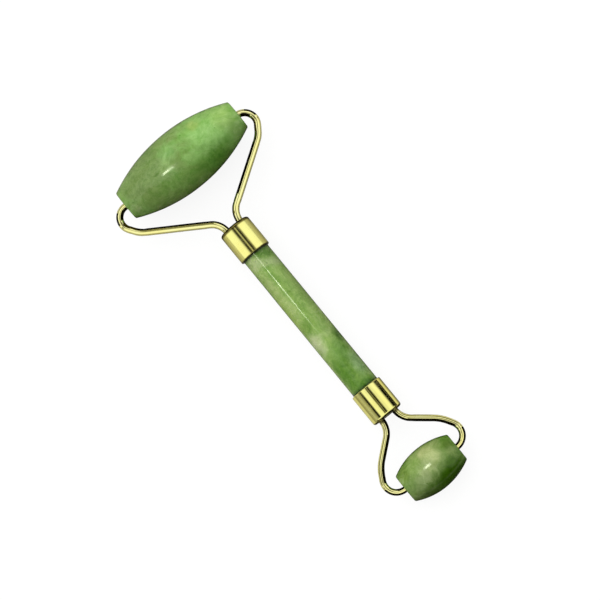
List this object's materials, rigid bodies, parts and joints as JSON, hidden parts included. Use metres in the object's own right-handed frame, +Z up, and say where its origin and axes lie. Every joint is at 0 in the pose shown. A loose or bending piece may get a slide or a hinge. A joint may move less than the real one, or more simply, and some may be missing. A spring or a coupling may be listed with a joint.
{
  "type": "jade face roller",
  "caption": "Two-ended facial massage roller: slim jade handle with gold ferrules, a gold wire yoke at each end, and a large and a small jade barrel that spin freely in the yokes.",
  "frame": {"origin": "middle of the handle, on the handle's axis", "axes": "+X along the handle towards the big roller, +Y along both roller axles, +Z up when the tool lies flat"},
  "size_m": [0.1447, 0.0572, 0.0206],
  "materials": {
    "jade_handle": "polished",
    "jade_big": "polished",
    "jade_small": "polished",
    "gold_plate": "polished",
    "gold_wire": "polished",
    "nylon": "matte",
    "epoxy": "gloss"
  },
  "bodies": {
    "handle": {"handle_stone": "jade_handle", "big_ferrule": "gold_plate", "small_ferrule": "gold_plate", "big_ferrule_epoxy": "epoxy", "small_ferrule_epoxy": "epoxy", "big_yoke_wire": "gold_wire", "small_yoke_wire": "gold_wire"},
    "big_roller": {"big_roller_stone": "jade_big", "big_roller_bush_left": "nylon", "big_roller_bush_right": "nylon"},
    "small_roller": {"small_roller_stone": "jade_small", "small_roller_bush_left": "nylon", "small_roller_bush_right": "nylon"}
  },
  "joints": [
    {"name": "big_roller_spin", "type": "hinge", "parent": "handle", "child": "big_roller", "pos_m": [0.0663, 0, 0], "axis": [0, 1, 0], "continuous": true},
    {"name": "small_roller_spin", "type": "hinge", "parent": "handle", "child": "small_roller", "pos_m": [-0.06045, 0, 0], "axis": [0, 1, 0], "continuous": true}
  ]
}
